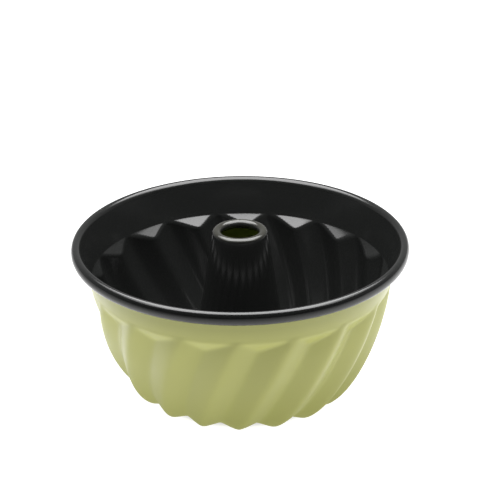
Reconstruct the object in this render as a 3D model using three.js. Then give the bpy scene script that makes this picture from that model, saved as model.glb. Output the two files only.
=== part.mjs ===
// Kugelhopf mould: an enamelled ring mould of pressed sheet steel, with swirled flutes and a centre tube.
// Millimetres, +Z up. The origin lies on the mould's axis, in the plane of the flute feet that it stands on.
//
// The body is one pressing: rolled rim, flared collar, shoulder, fluted walls, round floor and neck.
// The tube is a second piece, lapped inside that neck. Fired enamel covers both: olive green outside and
// up the tube's bore, black on the rim, in the bowl and round the tube. Each black coat stands off its
// steel by the thickness of the ground coat between them, which has no solid of its own.

import * as THREE from 'three';

// Rim and collar
const RIM_DIAMETER = 220;
const BEAD_WIDTH = 6.6;
const BEAD_DEPTH = 8.8;
const BEAD_HEIGHT = 100.8;
const SHOULDER_DROP = 20;
const SHOULDER_DIAMETER = 197;
const CURL_CLEARANCE = 0.7;

// Fluted wall and floor
const FLUTE_COUNT = 17;
const FLUTE_DEPTH_TOP = 4.8;
const FLUTE_DEPTH_FOOT = 4.1;
const LEDGE_DROP = 6.6;
const LEDGE_CREST_SHARE = 0.15;
const SWIRL_DEGREES = 23;
const CREST_DEGREES = 268.7;
const CREST_FLAT_DEGREES = 30;
const VALLEY_FLAT_DEGREES = 20;
const WALL_ACROSS_EXPONENT = 1.15;
const WALL_DOWN_EXPONENT = 1.37;
const FOOT_CIRCLE_DIAMETER = 120;
const FOOT_WIDTH = 8;
const NECK_HEIGHT = 10;

// Centre tube
const TUBE_HEIGHT = 113.6;
const TUBE_LIP_DIAMETER = 36.3;
const TUBE_LIP_BEAD_DIAMETER = 6;
const TUBE_TAPER_DEGREES = 8.6;
const TUBE_LAP = 8;
const LIP_CURL_END_DEGREES = 235;

// Sheet, enamel and seam
const SHEET = 0.9;
const TUBE_SHEET = 0.8;
const ENAMEL = 0.35;
const GROUND_COAT = 0.15;
const SEAM_GAP = 0.3;

// Facets
const WALL_STATIONS = [0.16, 0.32, 0.48, 0.64, 0.79, 0.91, 1];
const FLOOR_STATIONS = [0.25, 0.5, 0.75, 1];
const CURL_STEPS = 7;
const TUBE_SIDES = 34;
const LIP_STEPS = 5;

const radians = THREE.MathUtils.degToRad;
const crestFlat = radians(CREST_FLAT_DEGREES);
const valleyFlat = radians(VALLEY_FLAT_DEGREES);

// Columns of points stand at the edges of each crest's flat and of the valley's flat after it.
const PHASES = [-crestFlat, crestFlat, Math.PI - valleyFlat, Math.PI + valleyFlat];
const COLUMNS = FLUTE_COUNT * PHASES.length;

// One enamel colour is one material, on every coat of that colour.
const GREEN_ENAMEL = new THREE.MeshStandardMaterial({ color: 0xacac6e, roughness: 0.25, metalness: 0 });
const BLACK_ENAMEL = new THREE.MeshStandardMaterial({ color: 0x1a1a1a, roughness: 0.18, metalness: 0 });

const rim = rimBead();
const cone = tubeCone();
const profile = bodyProfile();

// The rolled rim's section is an oval, a circle drawn out in height. Each of its faces has a radius
// across, and the roll's two ends are angles on the circle, from straight outwards. The roll leaves the
// collar at the tangent from the shoulder and stops short of the collar's outer face.
function rimBead() {
  const tall = BEAD_DEPTH / BEAD_WIDTH;
  const centre = new THREE.Vector2((RIM_DIAMETER - BEAD_WIDTH) / 2, BEAD_HEIGHT);
  const shoulder = new THREE.Vector2(SHOULDER_DIAMETER / 2, BEAD_HEIGHT - SHOULDER_DROP);
  const enamelRadius = BEAD_WIDTH / 2;
  const coatRadius = enamelRadius - ENAMEL;
  const sheetRadius = coatRadius - GROUND_COAT;
  const hollowRadius = sheetRadius - SHEET;
  const toCentre = new THREE.Vector2(centre.x - shoulder.x, SHOULDER_DROP / tall);
  const collarAngle = toCentre.angle() + Math.asin(hollowRadius / toCentre.length());
  const start = collarAngle + Math.PI / 2;
  const end = start - 2 * Math.PI + Math.acos((hollowRadius - CURL_CLEARANCE) / enamelRadius);
  const point = (radius, a) => new THREE.Vector2(
    centre.x + radius * Math.cos(a),
    centre.y + tall * radius * Math.sin(a),
  );
  return { point, shoulder, enamelRadius, coatRadius, sheetRadius, hollowRadius, start, end };
}

// The tube's steel outer face: a cone that runs tangent into the lip's roll. radiusAt gives its radius.
function tubeCone() {
  const taper = radians(TUBE_TAPER_DEGREES);
  const lipRadius = TUBE_LIP_BEAD_DIAMETER / 2;
  const coatRadius = lipRadius - ENAMEL;
  const sheetRadius = coatRadius - GROUND_COAT;
  const lipCentre = new THREE.Vector2(TUBE_LIP_DIAMETER / 2 - lipRadius, TUBE_HEIGHT - lipRadius);
  const topRadius = lipCentre.x + sheetRadius * Math.cos(taper);
  const topHeight = lipCentre.y + sheetRadius * Math.sin(taper);
  const radiusAt = (z) => topRadius + (topHeight - z) * Math.tan(taper);
  return { taper, lipRadius, coatRadius, sheetRadius, lipCentre, radiusAt };
}

// The body's green face along a flute's crest, from the rim down the wall, over the foot and up the neck.
// Each station has its flute depth, the direction towards the bowl in the section, and its radius, height and
// turn, once for crests and once for valleys. The two differ at the ledge's foot alone, as a ledge falls away
// from each crest.
function bodyProfile() {
  const wallHeight = rim.shoulder.y;
  const footRadius = FOOT_CIRCLE_DIAMETER / 2;
  const span = rim.shoulder.x - footRadius;
  const padAngle = Math.acos((FOOT_WIDTH / 2 / span) ** (1 / WALL_ACROSS_EXPONENT));
  const wallPoint = (t) => new THREE.Vector2(
    footRadius + span * Math.cos(t) ** WALL_ACROSS_EXPONENT,
    wallHeight * (1 - (Math.sin(t) / Math.sin(padAngle)) ** WALL_DOWN_EXPONENT),
  );
  const angleAt = (drop) => Math.asin(Math.sin(padAngle) * (drop / wallHeight) ** (1 / WALL_DOWN_EXPONENT));
  const ledgeAngle = angleAt(LEDGE_DROP);

  // The floor's inner round is an arc from the foot, tangent to the neck, which clears the tube by the gap.
  const slope = Math.tan(cone.taper);
  const arcX = footRadius - FOOT_WIDTH / 2;
  const neckAtZero = cone.radiusAt(0) + SEAM_GAP / Math.cos(cone.taper);
  const arcRadius = (arcX - neckAtZero) / (1 / Math.cos(cone.taper) - slope);
  const arcEnd = Math.PI / 2 - cone.taper;
  const arcPoint = (a) => new THREE.Vector2(arcX - arcRadius * Math.sin(a), arcRadius * (1 - Math.cos(a)));
  const neckFoot = arcPoint(arcEnd);
  const neckTop = new THREE.Vector2(neckFoot.x - NECK_HEIGHT * slope, neckFoot.y + NECK_HEIGHT);

  const collarTop = rim.point(rim.hollowRadius, rim.start);
  const ledgeFoot = wallPoint(ledgeAngle);
  const ledgeEnd = wallPoint(angleAt(LEDGE_CREST_SHARE * LEDGE_DROP));
  const wall = WALL_STATIONS.map((f) => wallPoint(ledgeAngle + f * (padAngle - ledgeAngle)));
  const padInner = new THREE.Vector2(arcX, 0);
  const floor = FLOOR_STATIONS.map((f) => arcPoint(f * arcEnd));
  const points = [collarTop, rim.shoulder, ledgeFoot, ...wall, padInner, ...floor, neckTop];

  // Arc length from the shoulder sets the swirl. Flutes are deepest at the ledge and fade out up the floor.
  const shoulderAt = 1;
  const ledgeAt = 2;
  const padAt = ledgeAt + wall.length;
  const length = [0];
  points.slice(1).forEach((p, i) => length.push(length[i] + p.distanceTo(points[i])));
  const footLength = length[padAt] + FOOT_WIDTH / 2 - length[shoulderAt];
  const fadeAt = padAt + 1 + floor.length;
  const depthAt = (i) => {
    if (i < ledgeAt || i >= fadeAt) return 0;
    if (i <= padAt) {
      const down = (length[i] - length[ledgeAt]) / (length[padAt] - length[ledgeAt]);
      return THREE.MathUtils.lerp(FLUTE_DEPTH_TOP, FLUTE_DEPTH_FOOT, down);
    }
    return FLUTE_DEPTH_FOOT * (1 - (length[i] - length[padAt + 1]) / (length[fadeAt] - length[padAt + 1]));
  };
  return points.map((p, i) => {
    const [before, after] = [points[Math.max(i - 1, 0)], points[Math.min(i + 1, points.length - 1)]];
    const along = after.clone().sub(before).normalize();
    const past = Math.min(Math.max(length[i] - length[shoulderAt], 0), length[fadeAt] - length[shoulderAt]);
    const turnAt = (run) => radians(SWIRL_DEGREES) * run / footLength;
    const place = (point, run) => ({ radius: point.x, height: point.y, turn: turnAt(run) });
    const valley = place(p, past);
    const onFoot = i === padAt || i === padAt + 1;
    return {
      crest: i === ledgeAt ? place(ledgeEnd, ledgeEnd.distanceTo(rim.shoulder)) : valley,
      valley,
      depth: depthAt(i),
      toBowl: onFoot ? new THREE.Vector2(0, 1) : new THREE.Vector2(along.y, -along.x),
    };
  });
}

// Flute form across one pitch: 0 over a crest's flat, 1 over a valley's flat, straight flanks between.
function flute(phase) {
  const fromCrest = Math.abs(THREE.MathUtils.euclideanModulo(phase + Math.PI, 2 * Math.PI) - Math.PI);
  return THREE.MathUtils.clamp((fromCrest - crestFlat) / (Math.PI - valleyFlat - crestFlat), 0, 1);
}

// A point of the body's green face at a profile station. Columns follow the swirl, so a phase keeps its place
// on crest or valley all the way down.
function bodyPoint(station, phase, flutesFromStart) {
  const form = flute(phase);
  const inset = station.depth * form;
  const between = (key) => THREE.MathUtils.lerp(station.crest[key], station.valley[key], form);
  const radius = between('radius') + inset * station.toBowl.x;
  const height = between('height') + inset * station.toBowl.y;
  const around = (flutesFromStart * 2 * Math.PI + phase) / FLUTE_COUNT;
  const angle = radians(CREST_DEGREES) + around - between('turn');
  return new THREE.Vector3(radius * Math.cos(angle), radius * Math.sin(angle), height);
}

// Rings of points round the axis. Each has a rank, so that pieces sharing two rings share triangles too.
let ringsMade = 0;
function ring(pointOf) {
  const points = Array.from({ length: COLUMNS }, (_, column) => {
    const phase = PHASES[column % PHASES.length];
    return pointOf(phase, Math.floor(column / PHASES.length));
  });
  ringsMade += 1;
  return { points, rank: ringsMade };
}

// One face of the body, a set distance from the green face towards the bowl, along the surface's own normals.
// Where two strips meet at an edge the step is lengthened, so that the wall keeps its thickness on both.
function bodyFace(distance) {
  const small = 0.02;
  return profile.map((station, i) => ring((phase, count) => {
    const here = bodyPoint(station, phase, count);
    if (distance === 0) return here;
    const across = bodyPoint(station, phase + small, count).sub(bodyPoint(station, phase - small, count));
    const normals = [profile[i - 1], profile[i + 1]].map((other, side) => {
      if (!other) return null;
      const down = bodyPoint(other, phase, count).sub(here).multiplyScalar(side === 0 ? -1 : 1);
      return across.clone().cross(down).normalize();
    }).filter((n) => n);
    const mean = normals.reduce((sum, n) => sum.add(n), new THREE.Vector3()).normalize();
    return here.addScaledVector(mean, distance / mean.dot(normals[0]));
  }));
}

// One face of the rolled rim, from an angle at the collar over the top and round to the roll's free edge.
function rimFace(radius, start) {
  return Array.from({ length: CURL_STEPS + 1 }, (_, step) => {
    const a = THREE.MathUtils.lerp(start, rim.end, step / CURL_STEPS);
    const point = rim.point(radius, a);
    const place = { radius: point.x, height: point.y, turn: 0 };
    const station = { crest: place, valley: place, depth: 0, toBowl: new THREE.Vector2(0, 0) };
    return ring((phase, count) => bodyPoint(station, phase, count));
  });
}

// A closed skin through a loop of rings, listed up its outside and down its inside.
function loopSkin(rings) {
  const positions = rings.flatMap((r) => r.points.flatMap((p) => p.toArray()));
  const index = [];
  rings.forEach((lower, i) => {
    const next = (i + 1) % rings.length;
    const upper = rings[next];
    for (let j = 0; j < COLUMNS; j += 1) {
      const k = (j + 1) % COLUMNS;
      const [a, b, c, d] = [i * COLUMNS + j, i * COLUMNS + k, next * COLUMNS + k, next * COLUMNS + j];
      if (lower.rank < upper.rank) index.push(a, b, c, a, c, d);
      else index.push(a, b, d, b, c, d);
    }
  });
  const geometry = new THREE.BufferGeometry();
  geometry.setAttribute('position', new THREE.Float32BufferAttribute(positions, 3));
  geometry.setIndex(index);
  return geometry;
}

// One face of the tube's roll at its lip, from the cone over the top and into the bore.
function lipFace(radius) {
  return Array.from({ length: LIP_STEPS + 1 }, (_, step) => {
    const a = THREE.MathUtils.lerp(cone.taper, radians(LIP_CURL_END_DEGREES), step / LIP_STEPS);
    return new THREE.Vector2(cone.lipCentre.x + radius * Math.cos(a), cone.lipCentre.y + radius * Math.sin(a));
  });
}

// A point of the tube's cone at a height, a set distance outwards from the steel's outer face.
function conePoint(height, distance) {
  return new THREE.Vector2(cone.radiusAt(height) + distance / Math.cos(cone.taper), height);
}

// A turned ring from a closed section, stood up along the mould's axis.
function turned(section) {
  return new THREE.LatheGeometry([...section, section[0]], TUBE_SIDES).rotateX(Math.PI / 2);
}

function piece(name, geometry, material) {
  const mesh = new THREE.Mesh(geometry, material);
  mesh.name = name;
  return mesh;
}

// Bowl: the pressed body with its rolled rim, the enamel band on that roll and the enamel lining inside.
function bowl() {
  const greenFace = bodyFace(0);
  const steelFace = bodyFace(SHEET);
  const liningBack = bodyFace(SHEET + GROUND_COAT);
  const liningFace = bodyFace(SHEET + GROUND_COAT + ENAMEL);
  const rollInside = rimFace(rim.hollowRadius, rim.start).slice(1);
  const rollOutside = rimFace(rim.sheetRadius, rim.start).slice(1);
  const bandStart = rim.start - GROUND_COAT / rim.coatRadius;
  const bandBack = rimFace(rim.coatRadius, bandStart);
  const bandFace = rimFace(rim.enamelRadius, bandStart);
  const up = (rings) => [...rings].reverse();

  const group = new THREE.Group();
  group.add(piece('body_shell', loopSkin([
    ...up(greenFace), ...rollInside, ...up(rollOutside), ...steelFace,
  ]), GREEN_ENAMEL));
  group.add(piece('bowl_lining', loopSkin([...up(liningBack), ...liningFace]), BLACK_ENAMEL));
  group.add(piece('rim_band', loopSkin([...up(bandFace), ...bandBack]), BLACK_ENAMEL));
  return group;
}

// Tube: the tapered steel tube, its foot lapped inside the body's neck, and the enamel jacket above that neck.
function centreTube() {
  const neckTop = profile[profile.length - 1].valley.height;
  const tubeFoot = neckTop - TUBE_LAP;
  const jacketFoot = neckTop + SEAM_GAP;
  const steelOutside = [conePoint(tubeFoot, 0), ...lipFace(cone.sheetRadius)];
  const steelInside = [conePoint(tubeFoot, -TUBE_SHEET), ...lipFace(cone.sheetRadius - TUBE_SHEET)];
  const jacketOutside = [conePoint(jacketFoot, GROUND_COAT + ENAMEL), ...lipFace(cone.lipRadius)];
  const jacketBack = [conePoint(jacketFoot, GROUND_COAT), ...lipFace(cone.coatRadius)];

  const group = new THREE.Group();
  group.add(piece('centre_tube', turned([...steelOutside, ...steelInside.reverse()]), GREEN_ENAMEL));
  group.add(piece('tube_jacket', turned([...jacketOutside, ...jacketBack.reverse()]), BLACK_ENAMEL));
  return group;
}

const mould = new THREE.Group();
mould.add(bowl(), centreTube());

export default mould;
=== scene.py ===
"""Kugelhopf mould of enamelled sheet steel: five pieces worked out with numpy round the CAD frame.

Everything is in metres with +Z up. The origin lies on the mould's axis, in the plane of the feet.
"""

import math
from types import SimpleNamespace

import bpy
import numpy as np
from mathutils import Matrix


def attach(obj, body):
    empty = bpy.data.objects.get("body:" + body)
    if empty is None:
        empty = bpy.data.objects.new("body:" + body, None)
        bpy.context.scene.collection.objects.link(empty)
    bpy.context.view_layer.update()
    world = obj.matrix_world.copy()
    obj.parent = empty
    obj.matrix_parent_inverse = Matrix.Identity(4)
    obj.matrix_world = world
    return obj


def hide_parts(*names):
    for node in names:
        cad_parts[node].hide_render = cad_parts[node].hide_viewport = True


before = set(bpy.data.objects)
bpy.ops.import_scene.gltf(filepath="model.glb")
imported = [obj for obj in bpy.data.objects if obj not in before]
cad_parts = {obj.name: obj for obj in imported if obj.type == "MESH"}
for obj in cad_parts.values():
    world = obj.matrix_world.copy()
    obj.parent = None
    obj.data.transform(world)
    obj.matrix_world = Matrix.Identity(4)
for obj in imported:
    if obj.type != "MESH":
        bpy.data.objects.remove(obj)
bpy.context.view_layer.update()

bl_info = {
    "name": "Kugelhopf Mould",
    "version": (1, 0, 0),
    "blender": (4, 5, 0),
    "location": "View3D > Sidebar > Mould",
    "description": "Builds an enamelled kugelhopf mould with swirled flutes, and its studio",
    "category": "Add Mesh",
}

BODY = "root"

# Points on the section's curves, and the even step to which the section is cut before rounding
WALL_POINTS = 2000
ARC_POINTS = 600
FINE_STEP = 0.0002
# Rows in each stretch of a surface, and columns round it
COLUMNS_PER_FLUTE = 20
COLLAR_ROWS = 8
LEDGE_ROWS = 40
WALL_ROWS = 36
FLOOR_ROWS = 28
NECK_ROWS = 4
CURL_ROWS = 28
TUBE_COLUMNS = 160
TUBE_ROWS = 40
LIP_ROWS = 24
# The ledge's close rows reach this many rounding lengths past it, up and down
CLOSE_ROWS_REACH = 1.2
SHARP_EDGE = math.radians(50)

# Each ramp: from, to, value at the first and value at the second. Noise scales: waves to the metre.
# Each skin: scale, detail and depth in metres of slow waves, then of orange peel.
NOISE_MIDDLE = (0.3, 0.7)
GLOSS_SPREAD = 0.03

# Green enamel: patches over noise; over the height, painted shade at collar and feet, and dull feet
PATCH_SCALE, PATCH_DETAIL = 26, 3.0
PATCH_RAMP = (0.35, 0.70, 0.0, 0.4)
COLLAR_SHADE_RAMP = (0.078, 0.090, 0.0, 0.6)
FOOT_SHADE_RAMP = (0.0, 0.070, 0.9, 0.0)
DULL_FOOT_RAMP = (0.008, 0.050, 0.75, 0.28)
GREEN_GLOSS_SCALE, GREEN_GLOSS_DETAIL = 60, 3.0
GREEN_SKIN = ((30, 1.0, 0.00006), (180, 1.0, 0.000004))
GREEN_IOR = 1.48
# No painted shade: every colour kept in full
UNSHADED = (1.0, 1.0, 1.0)

# Black enamel: flecks over noise; over the height, a paler lip top, thin enamel and painted sheen
FLECK_SCALE, FLECK_DETAIL, FLECK_ROUGHNESS = 1100, 3.0, 0.7
FLECK_RAMP = (0.60, 0.74, 0.0, 0.8)
THIN_AND_SHEEN_RAMP = (0.1107, 0.1122, 0.0, 1.0)
BLACK_GLOSS_SCALE, BLACK_GLOSS_DETAIL = 90, 4.0
BLACK_SKIN = ((40, 1.0, 0.00006), (500, 2.0, 0.00001))
BLACK_IOR = 1.5

# Floor: its glow is nothing under the mould, full round it, and less in front of it and to its left
FLOOR_HALF = 6.0
FLOOR_ROUGHNESS = 0.9
GRAIN_SCALE = 8
GRAIN_SHARE = 0.04
SHADE_RAMP = (0.048, 0.062, 0.0, 1.0)
FRONT_RAMP = (-0.30, -0.13, 0.45, 1.0)
LEFT_RAMP = (-0.29, -0.165, 0.45, 1.0)
LEFT_SLANT = 0.095

# Sky: strength over the direction's Y. Soft box, brightest in its middle: name, width, depth,
# radiance and height of each layer.
SKY_RAMP = (-0.45, 0.95, 0.0, 0.35)
SOFT_BOX = (("soft_box_middle", 0.62, 0.50, 5.4, 0.50), ("soft_box_edge", 1.00, 0.56, 3.5, 0.51))
SOFT_BOX_BACK = 0.04
WHITE = (1.0, 1.0, 1.0, 1.0)

CAMERA_PLACE = (0.0, -1.3615, 0.7233)
CAMERA_DOWN = math.radians(24.4205)
CAMERA_ROLL = math.radians(-0.6)
CAMERA_CLIP = (0.01, 50)
FOCAL_PIXELS = 2300.0
PHOTO_SIDE = 480
SENSOR_MM = 36.0


def length(name, description, default):
    """A property for a length in metres."""
    return bpy.props.FloatProperty(name=name, description=description, default=default, min=0.0,
                                   precision=5, subtype="DISTANCE", unit="LENGTH")


def angle(name, description, degrees):
    """A property for an angle, its default given in degrees."""
    return bpy.props.FloatProperty(name=name, description=description,
                                   default=math.radians(degrees), subtype="ANGLE", unit="ROTATION")


def share(name, description, default):
    """A property for a plain number from 0 to 1."""
    return bpy.props.FloatProperty(name=name, description=description, default=default, min=0.0,
                                   max=1.0, subtype="FACTOR")


def power(name, description, default):
    """A property for a power or a multiple, from a half to 2."""
    return bpy.props.FloatProperty(name=name, description=description, default=default, min=0.5,
                                   max=2.0)


def colour(name, description, default):
    """A property for a linear colour."""
    return bpy.props.FloatVectorProperty(name=name, description=description, default=default,
                                         size=3, min=0.0, max=1.0, subtype="COLOR")


class MouldSizes(bpy.types.PropertyGroup):
    """Sizes of the pressed body, its flutes and the centre tube."""

    rim_diameter: length("Rim diameter", "Across the outside of the rolled rim", 0.220)
    bead_width: length("Bead width", "Across the rolled rim's section", 0.0066)
    bead_depth: length("Bead depth", "From top to bottom of the rolled rim's section", 0.0088)
    bead_height: length("Bead height", "Middle of the rolled rim above the feet", 0.1008)
    shoulder_drop: length("Shoulder drop", "From the bead's middle down to the shoulder", 0.0200)
    shoulder_diameter: length("Shoulder diameter", "Across the foot of the collar", 0.1970)
    curl_clearance: length("Curl clearance", "From the roll's free edge to the collar", 0.0007)
    flute_count: bpy.props.IntProperty(name="Flutes", description="Number of flutes", default=17,
                                       min=3)
    flute_depth_top: length("Flute depth at the ledge", "Valley below crest at the ledge", 0.0051)
    flute_depth_foot: length("Flute depth at the foot", "Valley below crest at the foot", 0.0041)
    ledge_drop: length("Ledge drop", "From the shoulder down to the foot of a ledge", 0.0069)
    swirl: angle("Swirl", "Turn of the flutes from shoulder to foot", 23.0)
    crest: angle("First crest", "Place of one crest at the shoulder", 268.7)
    crest_sharpness: share("Crest sharpness", "1 gives a sharp crest", 0.88)
    valley_sharpness: share("Valley sharpness", "1 gives a sharp valley", 0.93)
    fullness_across: power("Fullness across", "Power of the wall's curve across", 1.15)
    fullness_down: power("Fullness down", "Power of the wall's curve downwards", 1.37)
    foot_circle_diameter: length("Foot circle", "Across the middle of the ring of feet", 0.1200)
    foot_width: length("Foot width", "Flat of a foot, across the ring", 0.008)
    neck_height: length("Neck height", "Straight neck that holds the tube", 0.010)
    edge_rounding: length("Edge rounding", "Length over which the shoulder is rounded outside",
                          0.0042)
    ledge_rounding: length("Ledge rounding", "Length over which a ledge is rounded outside", 0.0072)
    ledge_shift: length("Ledge shift", "From the shoulder to a ledge's start outside", 0.0016)
    ledge_ease: power("Ledge ease", "Length of a ledge outside, to that in the bowl", 1.3)
    lining_rounding: length("Lining rounding", "Length over which an edge is rounded in the bowl",
                            0.0013)
    tube_height: length("Tube height", "Top of the tube above the feet", 0.1130)
    tube_lip_diameter: length("Tube lip diameter", "Across the tube's lip", 0.0363)
    tube_lip_bead: length("Tube lip thickness", "Thickness of the rolled lip", 0.006)
    tube_taper: angle("Tube taper", "Slope of the tube from upright", 8.6)
    tube_lap: length("Tube lap", "How far the tube reaches into the neck", 0.008)
    lip_curl_end: angle("Lip curl end", "Where the rolled lip ends, from straight outwards", 235)
    sheet: length("Sheet", "Thickness of the body's steel", 0.0009)
    tube_sheet: length("Tube sheet", "Thickness of the tube's steel", 0.0008)
    enamel: length("Enamel", "Thickness of a black coat", 0.00035)
    ground_coat: length("Ground coat", "Between the steel and a black coat", 0.00015)
    seam_gap: length("Seam gap", "Between the tube's foot and the neck", 0.0003)


class MouldFinish(bpy.types.PropertyGroup):
    """Colours and gloss of the two enamels and of the studio."""

    green: colour("Green enamel", "Olive green of the outside", (0.474, 0.482, 0.131))
    green_deep: colour("Green in patches", "Olive green of the slow patches",
                       (0.446, 0.453, 0.121))
    # Painted shade: the darker green of the collar, under the rim's overhang, and of the feet, near
    # the floor
    green_painted_shade: colour("Green at collar and feet", "Olive green of the collar and the feet",
                        (0.285, 0.29, 0.071))
    # Painted shade in the bore: the share of each green that is kept there
    bore_painted_shade: colour("Bore tone", "Share of each green that the bore has", (0.52, 0.62, 0.50))
    green_roughness: share("Green roughness", "Roughness of the green enamel", 0.31)
    black: colour("Black enamel", "Black of the bowl, rim and tube", (0.0079, 0.0083, 0.0080))
    black_fleck: colour("Fleck", "Fine flecks in the black enamel", (0.017, 0.0172, 0.0175))
    # Paler top of the tube's lip: partly thin enamel, partly painted sheen
    black_thin_and_sheen: colour("Thin black", "Black enamel where it is thin, on top of the tube's lip",
                       (0.0210, 0.0210, 0.0172))
    black_roughness: share("Black roughness", "Roughness of the black enamel", 0.16)
    floor: colour("Floor", "Colour of the studio floor", (0.30, 0.30, 0.30))
    floor_grain: colour("Floor grain", "Colour of the floor's faint grain", (0.26, 0.26, 0.26))


def rim_section(sizes):
    """The rolled rim's section: an oval, which is a circle drawn out in height, with radii across
    for enamel, coat back, steel and hollow. On the circle, the roll starts where the collar, seen
    as the tangent from the shoulder to the hollow, meets it, and ends a full turn later, less the
    angle that leaves the clearance to the collar. The enamel band starts just above the top edge of
    the bowl's lining.
    """
    tall = sizes.bead_depth / sizes.bead_width
    centre = np.array([(sizes.rim_diameter - sizes.bead_width) / 2, sizes.bead_height])
    shoulder = np.array([sizes.shoulder_diameter / 2, sizes.bead_height - sizes.shoulder_drop])
    enamel = sizes.bead_width / 2
    coat = enamel - sizes.enamel
    steel = coat - sizes.ground_coat
    hollow = steel - sizes.sheet
    reach = (centre - shoulder) / (1, tall)
    collar = math.atan2(reach[1], reach[0]) + math.asin(hollow / math.hypot(*reach))
    start = collar + math.pi / 2
    end = start - 2 * math.pi + math.acos((hollow - sizes.curl_clearance) / enamel)
    top = centre + hollow * np.array([math.cos(start), tall * math.sin(start)])
    rise = (top - shoulder) / np.linalg.norm(top - shoulder)
    lining = top + (sizes.sheet + sizes.ground_coat + sizes.enamel) * np.array([-rise[1], rise[0]])
    band = math.atan2((lining[1] - centre[1]) / tall, lining[0] - centre[0])
    band -= sizes.ground_coat / 2 / enamel
    return SimpleNamespace(centre=centre, shoulder=shoulder, enamel=enamel, coat=coat, steel=steel,
                           hollow=hollow, start=start, end=end, band=band, top=top, tall=tall)


def tube_section(sizes):
    """The tube's steel outer face: a cone tangent to the lip's roll, so its radius at a height is
    the radius at the tangent point plus the drop below that point times the tangent of the taper.
    """
    lip = sizes.tube_lip_bead / 2
    steel = lip - sizes.enamel - sizes.ground_coat
    centre = np.array([sizes.tube_lip_diameter / 2 - lip, sizes.tube_height - lip])
    slope = math.tan(sizes.tube_taper)
    top_radius = centre[0] + steel * math.cos(sizes.tube_taper)
    top_height = centre[1] + steel * math.sin(sizes.tube_taper)
    return SimpleNamespace(steel=steel, centre=centre, slope=slope,
                           zero_radius=top_radius + top_height * slope)


def rounded(values, half):
    """Each column averaged along the section under a raised cosine of that half width, which rounds
    corners. The ends are carried on in a straight line, so that they stay where they are."""
    steps = max(int(round(half / FINE_STEP)), 1)
    window = 1 + np.cos(np.linspace(-math.pi, math.pi, 2 * steps + 1))
    window /= window.sum()
    before = 2 * values[:1] - values[1:steps + 1][::-1]
    after = 2 * values[-1:] - values[-steps - 1:-1][::-1]
    padded = np.concatenate([before, values, after])
    return np.stack([np.convolve(column, window, mode="valid") for column in padded.T], axis=1)


def flute_wave(phase, crest, valley):
    """Flute form across one pitch, 0 on the crest and 1 in the valley: a triangle wave,
    arccos(k cos phase), whose corners are rounded by k below 1. k runs from the crest's to the
    valley's with the cosine."""
    c = np.cos(phase)
    k = crest * (1 + c) / 2 + valley * (1 - c) / 2
    return (np.arccos(k * c) - math.acos(crest)) / (math.acos(-valley) - math.acos(crest))


def crest_line(sizes, rim, tube):
    """The green face's section along a crest, from the collar's top to the neck's top, as points
    with the arc length up to each, and the arc lengths where its stretches meet.

    Collar: a straight line. Wall: radius = foot + span * cos(t)^across, and height falls with
    sin(t)^down. Foot: a flat. Floor: an arc tangent to the neck. Neck: a line on the tube's taper.
    """
    foot, half_foot = sizes.foot_circle_diameter / 2, sizes.foot_width / 2
    height, span = rim.shoulder[1], rim.shoulder[0] - foot
    pad_angle = math.acos((half_foot / span) ** (1 / sizes.fullness_across))
    t = np.linspace(0, pad_angle, WALL_POINTS)
    fall = (np.sin(t) / math.sin(pad_angle)) ** sizes.fullness_down
    wall = np.stack([foot + span * np.cos(t) ** sizes.fullness_across, height * (1 - fall)], axis=1)

    cosine = math.cos(sizes.tube_taper)
    arc_x = foot - half_foot
    arc_radius = arc_x - tube.zero_radius - sizes.seam_gap / cosine
    arc_radius /= 1 / cosine - tube.slope
    a = np.linspace(0, math.pi / 2 - sizes.tube_taper, ARC_POINTS)
    arc = np.stack([arc_x - arc_radius * np.sin(a), arc_radius * (1 - np.cos(a))], axis=1)
    neck_top = arc[-1] + sizes.neck_height * np.array([-tube.slope, 1])

    points = np.concatenate([[rim.top], wall, arc, [neck_top]])
    run = np.concatenate([[0], np.cumsum(np.hypot(*np.diff(points, axis=0).T))])
    pad = len(wall)
    ledge = np.interp(height - sizes.ledge_drop, wall[::-1, 1], run[1:pad + 1][::-1])
    return SimpleNamespace(points=points, run=run, shoulder=run[1], ledge=ledge, pad=run[pad],
                           arc=run[pad + 1], fade=run[-2], end=run[-1])


def flute_inset(sizes, line, fine, shift, ease):
    """How far the green face lies inside the crest's section, for each point along it and each
    column of one pitch: the lesser of depth times flute form and of a ramp, which is the ledge.

    Depth falls evenly from the ledge to the foot and fades out up the floor's arc. The ramp starts
    at the shoulder, or that shift below it, and reaches full depth at the ledge's foot, or at ease
    times as long a run.
    """
    depth = np.interp(fine, [line.ledge, line.pad, line.arc, line.fade],
                      [sizes.flute_depth_top, sizes.flute_depth_foot, sizes.flute_depth_foot, 0])
    phase = 2 * math.pi * np.arange(COLUMNS_PER_FLUTE) / COLUMNS_PER_FLUTE
    wave = flute_wave(phase, sizes.crest_sharpness, sizes.valley_sharpness)
    climb = (fine - line.shoulder - shift) / (ease * (line.ledge - line.shoulder))
    ledge = sizes.flute_depth_top * np.clip(climb, 0, None)
    return np.minimum(depth[:, None] * wave[None], ledge[:, None])


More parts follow.
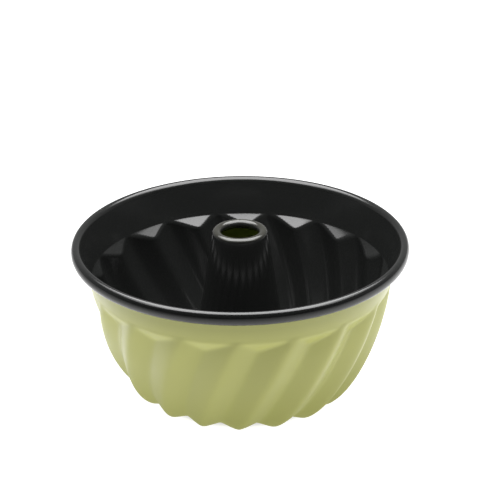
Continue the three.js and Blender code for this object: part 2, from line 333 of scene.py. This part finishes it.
def body_section(sizes, rounding, ledge_rounding, ledge_shift, ledge_ease):
    """The green face, as rows of its crest's section: radius, height, turn, direction towards the
    bowl, and inset for each column. The turn grows evenly with arc length from the shoulder to the
    middle of the foot, and on to the neck."""
    rim, tube = rim_section(sizes), tube_section(sizes)
    line = crest_line(sizes, rim, tube)
    fine = np.linspace(0, line.end, int(line.end / FINE_STEP))
    place = np.stack([np.interp(fine, line.run, axis) for axis in line.points.T], axis=1)
    place = rounded(place, rounding / 2)
    inset = rounded(flute_inset(sizes, line, fine, ledge_shift, ledge_ease), ledge_rounding / 2)
    along = np.gradient(place, axis=0)
    along /= np.hypot(*along.T)[:, None]
    turn = sizes.swirl * (np.clip(fine, line.shoulder, line.fade) - line.shoulder)
    turn /= line.pad + sizes.foot_width / 2 - line.shoulder

    near = CLOSE_ROWS_REACH * max(rounding, ledge_rounding)
    rows = np.concatenate([
        np.linspace(0, line.shoulder - near, COLLAR_ROWS, endpoint=False),
        np.linspace(line.shoulder - near, line.ledge + near, LEDGE_ROWS, endpoint=False),
        np.linspace(line.ledge + near, line.pad, WALL_ROWS, endpoint=False),
        np.linspace(line.pad, line.fade, FLOOR_ROWS, endpoint=False),
        np.linspace(line.fade, line.end, NECK_ROWS + 1),
    ])
    radius, height, turn, in_x, in_z = (
        np.interp(rows, fine, values) for values in (*place.T, turn, along[:, 1], -along[:, 0]))
    inset = np.stack([np.interp(rows, fine, column) for column in inset.T], axis=1)
    return SimpleNamespace(radius=radius, height=height, turn=turn, in_x=in_x, in_z=in_z,
                           inset=np.tile(inset, sizes.flute_count), rim=rim, tube=tube)


def outer_section(sizes):
    """The section with its corners as they are outside, well rounded and with longer ledges."""
    return body_section(sizes, sizes.edge_rounding, sizes.ledge_rounding, sizes.ledge_shift,
                        sizes.ledge_ease)


def bowl_section(sizes):
    """The section with its corners as they are in the bowl, where they are hardly rounded."""
    return body_section(sizes, sizes.lining_rounding, sizes.lining_rounding, 0.0, 1.0)


def columns(sizes):
    """Angle round the mould of each column of a body grid, from a crest on."""
    count = sizes.flute_count * COLUMNS_PER_FLUTE
    return sizes.crest + 2 * math.pi * np.arange(count) / count


def swept(radius, height, turn):
    """Points at radius and height, turned round the axis: the two-parameter surface of section row
    and column. Each of the three may be the same along rows or columns."""
    radius, height, turn = np.broadcast_arrays(radius, height, turn)
    return np.stack([radius * np.cos(turn), radius * np.sin(turn), height], axis=2)


def surface_normals(grid):
    """Unit normals of a grid closed across its columns: the cross product of its two finite
    differences."""
    across = np.roll(grid, -1, axis=1) - np.roll(grid, 1, axis=1)
    down = np.gradient(grid, axis=0)
    normal = np.cross(across, down)
    return normal / np.linalg.norm(normal, axis=2, keepdims=True)


def body_face(sizes, section, distance):
    """A face of the body, that distance from the green face towards the bowl. The green face is the
    crest's section moved inwards by the inset, and turned about the axis by the swirl."""
    radius = section.radius[:, None] + section.inset * section.in_x[:, None]
    height = section.height[:, None] + section.inset * section.in_z[:, None]
    grid = swept(radius, height, columns(sizes)[None] - section.turn[:, None])
    return grid + distance * surface_normals(grid)


def rim_face(sizes, rim, radius, start):
    """A face of the rolled rim: an oval's arc of that radius across, from the start angle to the
    roll's free edge, turned."""
    a = np.linspace(start, rim.end, CURL_ROWS)[:, None]
    return swept(rim.centre[0] + radius * np.cos(a), rim.centre[1] + rim.tall * radius * np.sin(a),
                 columns(sizes)[None])


def tube_face(sizes, tube, foot, distance):
    """A face of the tube: its cone from the foot's height to the lip, then the lip's arc, turned.
    Distance is measured outwards from the steel's outer face."""
    heights = np.linspace(foot, tube.centre[1], TUBE_ROWS, endpoint=False)
    radius = tube.zero_radius - heights * tube.slope + distance / math.cos(sizes.tube_taper)
    a = np.linspace(sizes.tube_taper, sizes.lip_curl_end, LIP_ROWS)
    lip = tube.steel + distance
    radius = np.concatenate([radius, tube.centre[0] + lip * np.cos(a)])
    heights = np.concatenate([heights, tube.centre[1] + lip * np.sin(a)])
    around = np.linspace(0, 2 * math.pi, TUBE_COLUMNS, endpoint=False)
    return swept(radius[:, None], heights[:, None], around[None])


def ring_piece(name, rings, material):
    """A closed skin through a loop of rings, a grid that wraps both ways, as a smooth mesh object.
    Its signed volume, the sum of corner dot normal over the faces, tells which way round the faces
    go."""
    count, sides = rings.shape[:2]
    lower = np.arange(count * sides).reshape(count, sides)
    upper = np.roll(lower, -1, axis=0)
    quads = np.stack([lower, np.roll(lower, -1, axis=1), np.roll(upper, -1, axis=1), upper], axis=2)
    quads = quads.reshape(-1, 4)
    points = rings.reshape(-1, 3)
    corner = points[quads]
    normal = np.cross(corner[:, 2] - corner[:, 0], corner[:, 3] - corner[:, 1])
    if np.einsum("ij,ij->", corner[:, 0], normal) < 0:
        quads = quads[:, ::-1]
    mesh = bpy.data.meshes.new(name)
    mesh.vertices.add(len(points))
    mesh.vertices.foreach_set("co", points.astype(np.float32).ravel())
    mesh.loops.add(quads.size)
    mesh.loops.foreach_set("vertex_index", quads.astype(np.int32).ravel())
    mesh.polygons.add(len(quads))
    mesh.polygons.foreach_set("loop_start", np.arange(0, quads.size, 4, dtype=np.int32))
    mesh.update(calc_edges=True)
    if mesh.validate():
        raise RuntimeError(f"{name}: the mesh had faults")
    mesh.shade_smooth()
    mesh.set_sharp_from_angle(angle=SHARP_EDGE)
    mesh.materials.append(material)
    piece = bpy.data.objects.new(name, mesh)
    bpy.context.scene.collection.objects.link(piece)
    return piece


def dress(piece, node):
    """Sets a piece on the frame in place of its CAD node, which it hides."""
    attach(piece, BODY)
    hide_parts(node)


class FinishNodes:
    """Adds nodes to the tree of one finish or of the sky, on coordinates of one kind."""

    def __init__(self, tree, coordinates="Object"):
        self.tree = tree
        self.link = tree.links.new
        self.place = self.add("ShaderNodeTexCoord").outputs[coordinates]

    def add(self, kind, **values):
        """A node with these inputs and settings."""
        node = self.tree.nodes.new(kind)
        for key, value in values.items():
            if key in node.inputs:
                node.inputs[key].default_value = value
            else:
                setattr(node, key, value)
        return node

    def feed(self, socket, value):
        """Links a socket to another, or sets it to a plain value."""
        if isinstance(value, bpy.types.NodeSocket):
            self.link(value, socket)
        else:
            socket.default_value = value

    def axis(self, name):
        """One of the coordinates: X, Y or Z."""
        node = self.add("ShaderNodeSeparateXYZ")
        self.link(self.place, node.inputs["Vector"])
        return node.outputs[name]

    def noise(self, scale, detail=2.0, roughness=0.5):
        """A noise texture, its scale in waves to the metre."""
        node = self.add("ShaderNodeTexNoise", Scale=scale, Detail=detail, Roughness=roughness)
        self.link(self.place, node.inputs["Vector"])
        return node.outputs["Fac"]

    def ramp(self, value, low, high, at_low, at_high):
        """A value carried from one range to another, held at the ends."""
        node = self.add("ShaderNodeMapRange")
        for key, number in (("Value", value), ("From Min", low), ("From Max", high),
                            ("To Min", at_low), ("To Max", at_high)):
            self.feed(node.inputs[key], number)
        return node.outputs["Result"]

    def reckon(self, operation, *values):
        """Numbers put together by an operation of the Math node."""
        node = self.add("ShaderNodeMath", operation=operation)
        for socket, value in zip(node.inputs, values):
            self.feed(socket, value)
        return node.outputs["Value"]

    def mixed(self, amount, first, second):
        """Two colours mixed by an amount. The Mix node has sockets of the same names for numbers
        too, so those for colours are picked by their type."""
        node = self.add("ShaderNodeMix", data_type="RGBA")
        self.link(amount, node.inputs["Factor"])
        shown = {socket.name: socket for socket in node.inputs if socket.type == "RGBA"}
        for key, value in (("A", first), ("B", second)):
            plain = not isinstance(value, bpy.types.NodeSocket)
            self.feed(shown[key], (*value, 1) if plain else value)
        return next(socket for socket in node.outputs if socket.type == "RGBA")

    def gloss(self, mean, scale, detail):
        """Roughness that wanders a little about its mean."""
        return self.ramp(self.noise(scale, detail), *NOISE_MIDDLE,
                         mean - GLOSS_SPREAD, mean + GLOSS_SPREAD)

    def skin(self, layers):
        """Bumps of noise laid one on another, each with its scale, detail and depth in metres."""
        normal = None
        for scale, detail, depth in layers:
            node = self.add("ShaderNodeBump", Strength=1.0, Distance=depth)
            self.link(self.noise(scale, detail), node.inputs["Height"])
            if normal is not None:
                self.link(normal, node.inputs["Normal"])
            normal = node.outputs["Normal"]
        return normal


def new_material(name):
    """A material, its shader's inputs and a helper that adds nodes to it."""
    made = bpy.data.materials.new(name)
    made.use_nodes = True
    return made, made.node_tree.nodes["Principled BSDF"].inputs, FinishNodes(made.node_tree)


def green_enamel(name, finish, tone):
    """Glossy olive enamel: slow patches, painted shade darkening the collar under the rim's
    overhang and the feet near the floor, dull feet, a gloss that wanders a little, and a skin of
    orange peel over slow waves. The last argument is the share kept of each colour's red, green and
    blue;
    below 1 it paints shade, as in the bore."""
    made, shader, nodes = new_material(name)
    green, deep, shaded_green = (np.array(tone) * shade[:] for shade in
                          (finish.green, finish.green_deep, finish.green_painted_shade))
    height = nodes.axis("Z")
    patches = nodes.ramp(nodes.noise(PATCH_SCALE, PATCH_DETAIL), *PATCH_RAMP)
    # thickness is painted shade: darker green under the rim's overhang and near the floor
    thickness = nodes.reckon("MAXIMUM", nodes.ramp(height, *COLLAR_SHADE_RAMP),
                             nodes.ramp(height, *FOOT_SHADE_RAMP))
    nodes.link(nodes.mixed(thickness, nodes.mixed(patches, green, deep), shaded_green),
               shader["Base Color"])
    gloss = nodes.gloss(finish.green_roughness, GREEN_GLOSS_SCALE, GREEN_GLOSS_DETAIL)
    nodes.link(nodes.reckon("MAXIMUM", gloss, nodes.ramp(height, *DULL_FOOT_RAMP)),
               shader["Roughness"])
    nodes.link(nodes.skin(GREEN_SKIN), shader["Normal"])
    shader["IOR"].default_value = GREEN_IOR
    return made


def black_enamel(finish):
    """Glossy black enamel with fine grey flecks, paler on top of the tube's lip, partly thin enamel
    and partly painted sheen, a gloss that wanders a little, and a skin of orange peel. Made once
    and shared."""
    made = bpy.data.materials.get("gloss_black_enamel")
    if made:
        return made
    made, shader, nodes = new_material("gloss_black_enamel")
    flecks = nodes.ramp(nodes.noise(FLECK_SCALE, FLECK_DETAIL, FLECK_ROUGHNESS), *FLECK_RAMP)
    flecked = nodes.mixed(flecks, finish.black, finish.black_fleck)
    # Paler lip top: partly thin enamel, partly painted sheen
    thin = nodes.ramp(nodes.axis("Z"), *THIN_AND_SHEEN_RAMP)
    nodes.link(nodes.mixed(thin, flecked, finish.black_thin_and_sheen), shader["Base Color"])
    nodes.link(nodes.gloss(finish.black_roughness, BLACK_GLOSS_SCALE, BLACK_GLOSS_DETAIL),
               shader["Roughness"])
    nodes.link(nodes.skin(BLACK_SKIN), shader["Normal"])
    shader["IOR"].default_value = BLACK_IOR
    return made


class MOULD_OT_body_shell(bpy.types.Operator):
    """Builds the pressed body: collar, fluted wall, floor and neck in green, with its rim rolled
    over."""

    bl_idname = "mould.body_shell"
    bl_label = "Body Shell"

    def execute(self, context):
        sizes, finish = context.scene.mould_sizes, context.scene.mould_finish
        section = outer_section(sizes)
        rim = section.rim
        outer = body_face(sizes, section, 0.0)
        inner = body_face(sizes, bowl_section(sizes), sizes.sheet)
        roll_in = rim_face(sizes, rim, rim.hollow, rim.start)[1:]
        roll_out = rim_face(sizes, rim, rim.steel, rim.start)[1:]
        rings = np.concatenate([outer[::-1], roll_in, roll_out[::-1], inner])
        piece = ring_piece("pressed_body", rings,
                           green_enamel("gloss_green_enamel", finish, UNSHADED))
        dress(piece, "body_shell")
        return {"FINISHED"}


class MOULD_OT_bowl_lining(bpy.types.Operator):
    """Builds the black enamel inside the bowl, from the rim down the flutes and up the neck."""

    bl_idname = "mould.bowl_lining"
    bl_label = "Bowl Lining"

    def execute(self, context):
        sizes, finish = context.scene.mould_sizes, context.scene.mould_finish
        section = bowl_section(sizes)
        back = body_face(sizes, section, sizes.sheet + sizes.ground_coat)
        face = body_face(sizes, section, sizes.sheet + sizes.ground_coat + sizes.enamel)
        rings = np.concatenate([back[::-1], face, self.lap(sizes, section, face[-1])])
        piece = ring_piece("lining_enamel", rings, black_enamel(finish))
        dress(piece, "bowl_lining")
        return {"FINISHED"}

    def lap(self, sizes, section, edge):
        """The enamel's fold over the neck's edge to the tube: rings above the last one, the inner
        two drawn in by the ratio of the radii until they clear the tube's jacket by half a ground
        coat."""
        coat = sizes.ground_coat + sizes.enamel
        height = section.height[-1] + coat
        jacket = section.tube.zero_radius - height * section.tube.slope
        jacket += coat / math.cos(sizes.tube_taper)
        drawn = (jacket + sizes.ground_coat / 2) / np.hypot(edge[0, 0], edge[0, 1])
        rise = np.array([0, 0, 1])
        inner = edge * (drawn, drawn, 1)
        return np.stack([edge + coat * rise, inner + coat * rise, inner + sizes.ground_coat * rise])


class MOULD_OT_rim_band(bpy.types.Operator):
    """Builds the black enamel on the rolled rim."""

    bl_idname = "mould.rim_band"
    bl_label = "Rim Band"

    def execute(self, context):
        sizes, finish = context.scene.mould_sizes, context.scene.mould_finish
        rim = rim_section(sizes)
        face = rim_face(sizes, rim, rim.enamel, rim.band)
        back = rim_face(sizes, rim, rim.coat, rim.band)
        piece = ring_piece("rim_enamel", np.concatenate([face[::-1], back]), black_enamel(finish))
        dress(piece, "rim_band")
        return {"FINISHED"}


class MOULD_OT_centre_tube(bpy.types.Operator):
    """Builds the tapered steel tube with its rolled lip, green with painted shade in the bore."""

    bl_idname = "mould.centre_tube"
    bl_label = "Centre Tube"

    def execute(self, context):
        sizes, finish = context.scene.mould_sizes, context.scene.mould_finish
        tube = tube_section(sizes)
        foot = bowl_section(sizes).height[-1] - sizes.tube_lap
        outside = tube_face(sizes, tube, foot, 0.0)
        inside = tube_face(sizes, tube, foot, -sizes.tube_sheet)
        # The bore's green is darkened by painted shade.
        piece = ring_piece("tube_steel", np.concatenate([outside, inside[::-1]]),
                           green_enamel("shaded_bore_enamel", finish, finish.bore_painted_shade[:]))
        dress(piece, "centre_tube")
        return {"FINISHED"}


class MOULD_OT_tube_jacket(bpy.types.Operator):
    """Builds the black enamel round the tube and over its lip."""

    bl_idname = "mould.tube_jacket"
    bl_label = "Tube Jacket"

    def execute(self, context):
        sizes, finish = context.scene.mould_sizes, context.scene.mould_finish
        tube = tube_section(sizes)
        foot = bowl_section(sizes).height[-1] + sizes.seam_gap
        outside = tube_face(sizes, tube, foot, sizes.ground_coat + sizes.enamel)
        back = tube_face(sizes, tube, foot, sizes.ground_coat)
        piece = ring_piece("tube_enamel", np.concatenate([outside, back[::-1]]),
                           black_enamel(finish))
        dress(piece, "tube_jacket")
        return {"FINISHED"}


class MOULD_OT_stage(bpy.types.Operator):
    """Builds the studio: a glowing floor, soft light and the camera."""

    bl_idname = "mould.stage"
    bl_label = "Studio"

    def execute(self, context):
        scene = context.scene
        scene.view_settings.view_transform = "Standard"
        self.floor(scene, scene.mould_finish)
        self.light(scene)
        self.camera(scene)
        return {"FINISHED"}

    def floor(self, scene, finish):
        """A square whose glow is the product of three ramps: over the distance from the axis, over
        Y, and over X with a little of Y."""
        corners = FLOOR_HALF * np.array([[-1, -1, 0], [1, -1, 0], [1, 1, 0], [-1, 1, 0]])
        mesh = bpy.data.meshes.new("floor")
        mesh.from_pydata(corners.tolist(), [], [(0, 1, 2, 3)])
        made, shader, nodes = new_material("pale_floor")
        grain = nodes.ramp(nodes.noise(GRAIN_SCALE), *NOISE_MIDDLE, 0.0, GRAIN_SHARE)
        nodes.link(nodes.mixed(grain, finish.floor, finish.floor_grain), shader["Base Color"])
        shader["Roughness"].default_value = FLOOR_ROUGHNESS
        shader["Emission Color"].default_value = WHITE
        far = nodes.add("ShaderNodeVectorMath", operation="LENGTH")
        nodes.link(nodes.place, far.inputs[0])
        shade = nodes.ramp(far.outputs["Value"], *SHADE_RAMP)
        front = nodes.ramp(nodes.axis("Y"), *FRONT_RAMP)
        slant = nodes.reckon("MULTIPLY_ADD", nodes.axis("Y"), LEFT_SLANT, nodes.axis("X"))
        left = nodes.ramp(slant, *LEFT_RAMP)
        glow = nodes.reckon("MULTIPLY", nodes.reckon("MULTIPLY", shade, front), left)
        nodes.link(glow, shader["Emission Strength"])
        mesh.materials.append(made)
        floor = bpy.data.objects.new("floor", mesh)
        scene.collection.objects.link(floor)

    def light(self, scene):
        """A soft box close above the mould, and a sky that is bright behind it and dim in front."""
        world = bpy.data.worlds.new("studio")
        world.use_nodes = True
        nodes = FinishNodes(world.node_tree, "Generated")
        sky = world.node_tree.nodes["Background"].inputs
        sky["Color"].default_value = WHITE
        nodes.link(nodes.ramp(nodes.axis("Y"), *SKY_RAMP), sky["Strength"])
        scene.world = world
        for name, width, depth, radiance, height in SOFT_BOX:
            lamp = bpy.data.lights.new(name, "AREA")
            lamp.shape = "RECTANGLE"
            lamp.size, lamp.size_y = width, depth
            lamp.energy = radiance * math.pi * width * depth
            box = bpy.data.objects.new(name, lamp)
            box.location = (0.0, SOFT_BOX_BACK, height)
            box.visible_camera = False
            scene.collection.objects.link(box)

    def camera(self, scene):
        """The view: right and up axes rolled about the line of sight, which dips below level."""
        level = np.array([1.0, 0, 0])
        sight = np.array([0, math.cos(CAMERA_DOWN), -math.sin(CAMERA_DOWN)])
        rise = np.array([0, math.sin(CAMERA_DOWN), math.cos(CAMERA_DOWN)])
        right = math.cos(CAMERA_ROLL) * level + math.sin(CAMERA_ROLL) * rise
        up = -math.sin(CAMERA_ROLL) * level + math.cos(CAMERA_ROLL) * rise
        data = bpy.data.cameras.new("camera")
        data.sensor_width = SENSOR_MM
        data.lens = FOCAL_PIXELS / PHOTO_SIDE * SENSOR_MM
        data.clip_start, data.clip_end = CAMERA_CLIP
        view = bpy.data.objects.new("camera", data)
        matrix = np.eye(4)
        matrix[:3] = np.stack([right, up, -sight, np.array(CAMERA_PLACE)], axis=1)
        view.matrix_world = Matrix(matrix.tolist())
        scene.collection.objects.link(view)
        scene.camera = view


class MOULD_PT_sidebar(bpy.types.Panel):
    """Lists the mould's sizes, finishes and pieces in the sidebar."""

    bl_idname = "MOULD_PT_sidebar"
    bl_label = "Kugelhopf Mould"
    bl_space_type = "VIEW_3D"
    bl_region_type = "UI"
    bl_category = "Mould"

    def draw(self, context):
        for group in (context.scene.mould_sizes, context.scene.mould_finish):
            box = self.layout.box()
            for name in group.__annotations__:
                box.prop(group, name)
        for operator in OPERATORS:
            self.layout.operator(operator.bl_idname)


OPERATORS = (
    MOULD_OT_body_shell,
    MOULD_OT_bowl_lining,
    MOULD_OT_rim_band,
    MOULD_OT_centre_tube,
    MOULD_OT_tube_jacket,
    MOULD_OT_stage,
)
CLASSES = (MouldSizes, MouldFinish, *OPERATORS, MOULD_PT_sidebar)


def register():
    for made in CLASSES:
        bpy.utils.register_class(made)
    bpy.types.Scene.mould_sizes = bpy.props.PointerProperty(type=MouldSizes)
    bpy.types.Scene.mould_finish = bpy.props.PointerProperty(type=MouldFinish)


def unregister():
    del bpy.types.Scene.mould_finish
    del bpy.types.Scene.mould_sizes
    for made in reversed(CLASSES):
        bpy.utils.unregister_class(made)


def main():
    register()
    bpy.ops.mould.body_shell()
    bpy.ops.mould.bowl_lining()
    bpy.ops.mould.rim_band()
    bpy.ops.mould.centre_tube()
    bpy.ops.mould.tube_jacket()
    bpy.ops.mould.stage()


if __name__ == "__main__":
    main()
